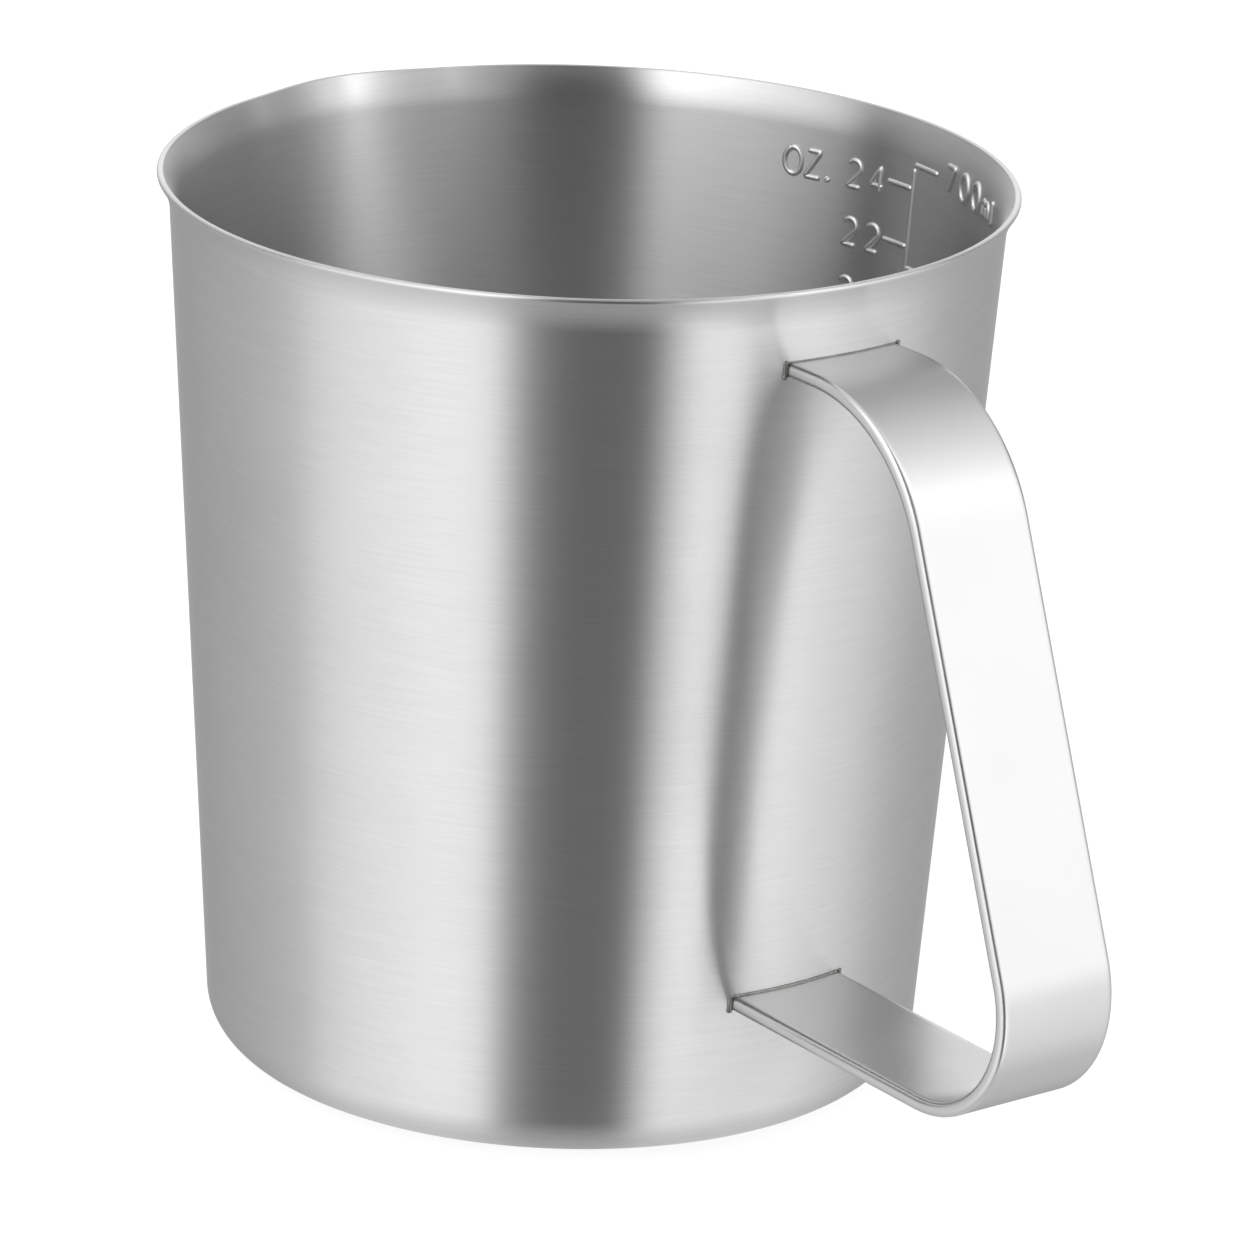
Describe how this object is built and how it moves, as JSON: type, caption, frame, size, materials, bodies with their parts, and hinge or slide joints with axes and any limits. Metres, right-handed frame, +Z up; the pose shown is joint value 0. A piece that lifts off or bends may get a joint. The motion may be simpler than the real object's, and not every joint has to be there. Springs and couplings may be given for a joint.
{
  "type": "milk frothing jug",
  "caption": "Stainless steel milk jug: drawn tapered cup with a flared lip and a small pressed spout, and a bent strap handle welded to its wall.",
  "frame": {"origin": "middle of the base, on the surface that the jug stands on", "axes": "+Z up along the cup's axis; +X from the axis towards the handle; the spout is at -X"},
  "size_m": [0.1474, 0.1044, 0.11],
  "materials": {
    "cup_steel": "satin, brushed round the cup",
    "handle_steel": "satin, brushed along the strap",
    "weld_steel": "as welded, wiped"
  },
  "bodies": {
    "root": {"cup_body": "cup_steel", "handle_strap": "handle_steel", "upper_weld_bead": "weld_steel", "lower_weld_bead": "weld_steel", "upper_weld_left": "weld_steel", "upper_weld_right": "weld_steel", "lower_weld_left": "weld_steel", "lower_weld_right": "weld_steel"}
  },
  "joints": []
}
